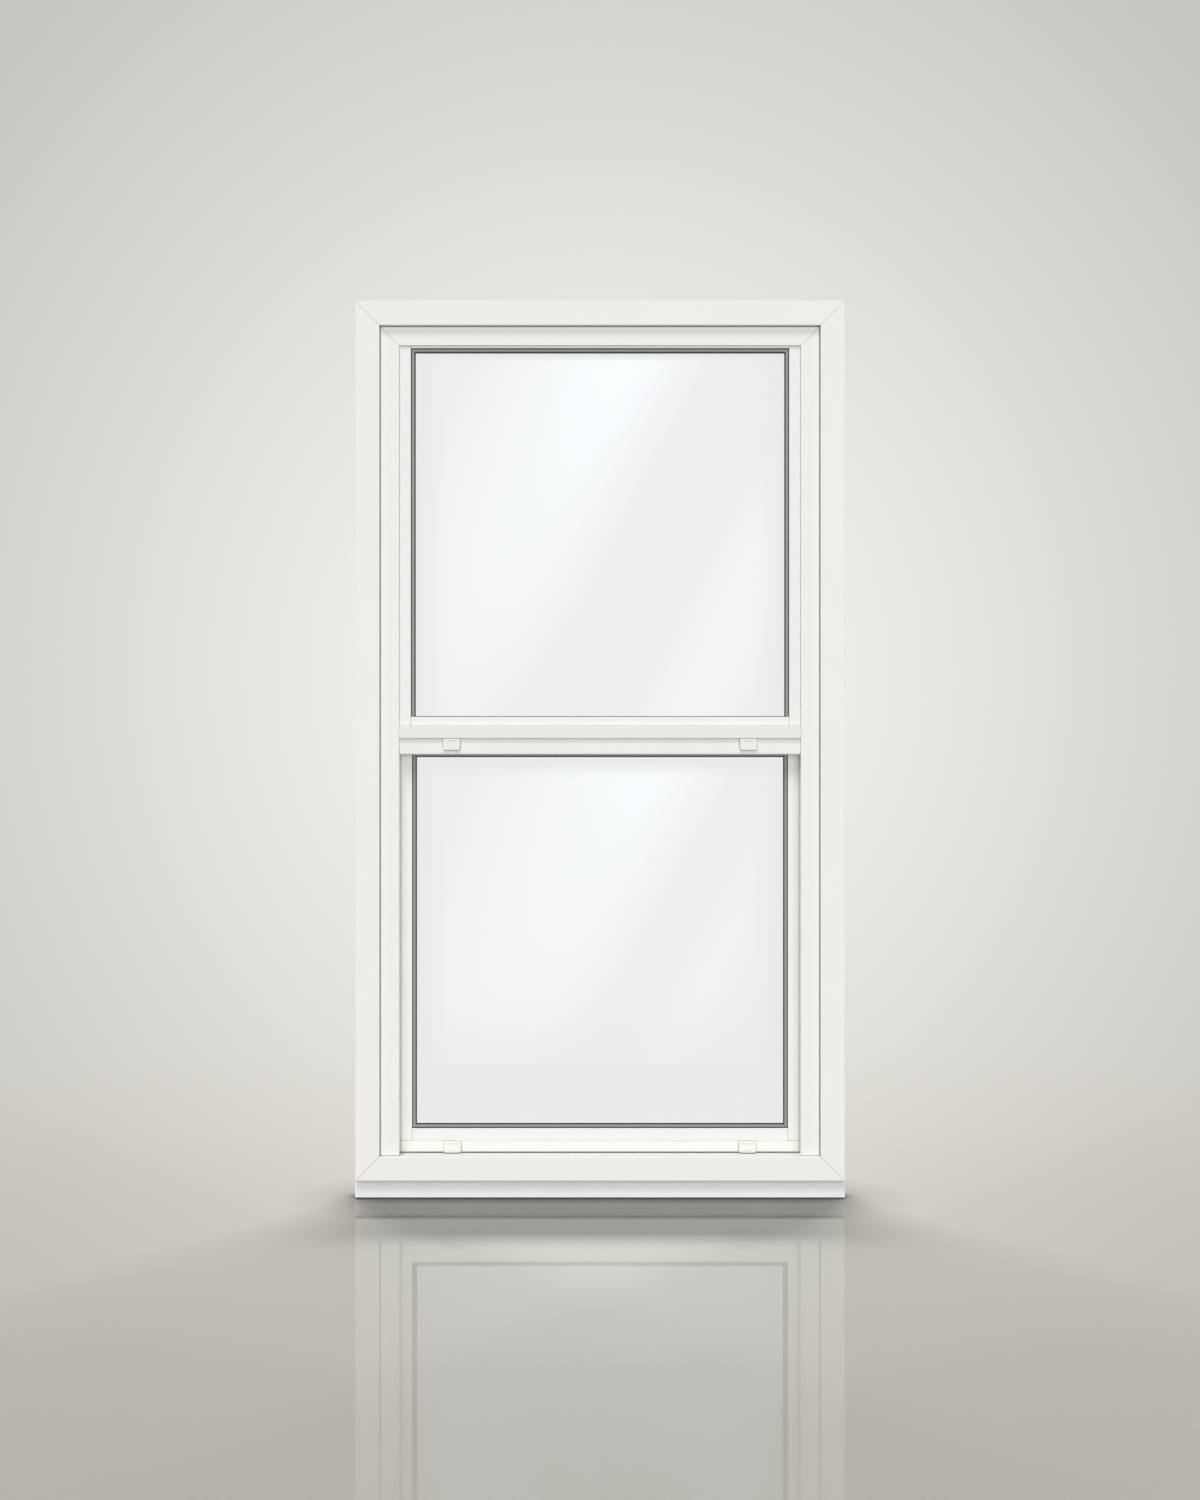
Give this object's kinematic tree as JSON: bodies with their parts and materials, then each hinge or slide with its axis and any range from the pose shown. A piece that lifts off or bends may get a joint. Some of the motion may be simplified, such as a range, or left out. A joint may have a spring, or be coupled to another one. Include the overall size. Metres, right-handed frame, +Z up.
{
  "type": "interior storm window",
  "caption": "White double-hung interior storm window with a mitred aluminium frame, sliding glazed sashes, spring finger latches and a telescoping sill expander.",
  "frame": {"origin": "middle of the underside of the sill expander, at half the frame's depth", "axes": "+X to the right seen from the room, +Y away from the room, +Z up"},
  "size_m": [0.813, 0.046, 1.486],
  "materials": {
    "painted_aluminium": "white baked paint on extruded aluminium",
    "expander_aluminium": "white baked paint, slightly cooler",
    "clear_glass": "clear float glass",
    "vinyl_gasket": "dark grey extruded vinyl",
    "wool_pile": "grey brushed pile",
    "moulded_nylon": "white moulded nylon",
    "spring_steel": "rolled strip",
    "screw_steel": "zinc plated",
    "cast_key": "as cast"
  },
  "bodies": {
    "frame": {"head": "painted_aluminium", "left_jamb": "painted_aluminium", "right_jamb": "painted_aluminium", "sill": "painted_aluminium", "corner_keys": "cast_key"},
    "expander": {"sill_expander": "expander_aluminium"},
    "upper_sash": {"upper_left_stile": "painted_aluminium", "upper_right_stile": "painted_aluminium", "upper_top_rail": "painted_aluminium", "upper_bottom_rail": "painted_aluminium", "upper_glass": "clear_glass", "upper_gasket": "vinyl_gasket", "upper_screws": "screw_steel", "upper_pile": "wool_pile", "upper_spring_stops": "moulded_nylon", "upper_left_spring": "spring_steel", "upper_right_spring": "spring_steel"},
    "upper_left_bolt": {"upper_left_latch": "moulded_nylon"},
    "upper_right_bolt": {"upper_right_latch": "moulded_nylon"},
    "lower_sash": {"lower_left_stile": "painted_aluminium", "lower_right_stile": "painted_aluminium", "lower_top_rail": "painted_aluminium", "lower_bottom_rail": "painted_aluminium", "lower_glass": "clear_glass", "lower_gasket": "vinyl_gasket", "lower_screws": "screw_steel", "lower_pile": "wool_pile", "lower_spring_stops": "moulded_nylon", "lower_left_spring": "spring_steel", "lower_right_spring": "spring_steel"},
    "lower_left_bolt": {"lower_left_latch": "moulded_nylon"},
    "lower_right_bolt": {"lower_right_latch": "moulded_nylon"}
  },
  "joints": [
    {"name": "upper_sash_slide", "type": "slide", "parent": "frame", "child": "upper_sash", "axis": [0, 0, -1], "range_m": [0, 0.65]},
    {"name": "lower_sash_slide", "type": "slide", "parent": "frame", "child": "lower_sash", "axis": [0, 0, 1], "range_m": [0, 0.65]},
    {"name": "expander_slide", "type": "slide", "parent": "frame", "child": "expander", "axis": [0, 0, -1], "range_m": [0, 0.012]},
    {"name": "upper_left_latch_slide", "type": "slide", "parent": "upper_sash", "child": "upper_left_bolt", "axis": [1, 0, 0], "range_m": [-0.0035, 0.0075], "stiffness_N_per_m": 300, "springref_m": -0.006, "deforming": ["upper_left_spring"]},
    {"name": "upper_right_latch_slide", "type": "slide", "parent": "upper_sash", "child": "upper_right_bolt", "axis": [-1, 0, 0], "range_m": [-0.0035, 0.0075], "stiffness_N_per_m": 300, "springref_m": -0.006, "deforming": ["upper_right_spring"]},
    {"name": "lower_left_latch_slide", "type": "slide", "parent": "lower_sash", "child": "lower_left_bolt", "axis": [1, 0, 0], "range_m": [-0.0035, 0.0075], "stiffness_N_per_m": 300, "springref_m": -0.006, "deforming": ["lower_left_spring"]},
    {"name": "lower_right_latch_slide", "type": "slide", "parent": "lower_sash", "child": "lower_right_bolt", "axis": [-1, 0, 0], "range_m": [-0.0035, 0.0075], "stiffness_N_per_m": 300, "springref_m": -0.006, "deforming": ["lower_right_spring"]}
  ]
}
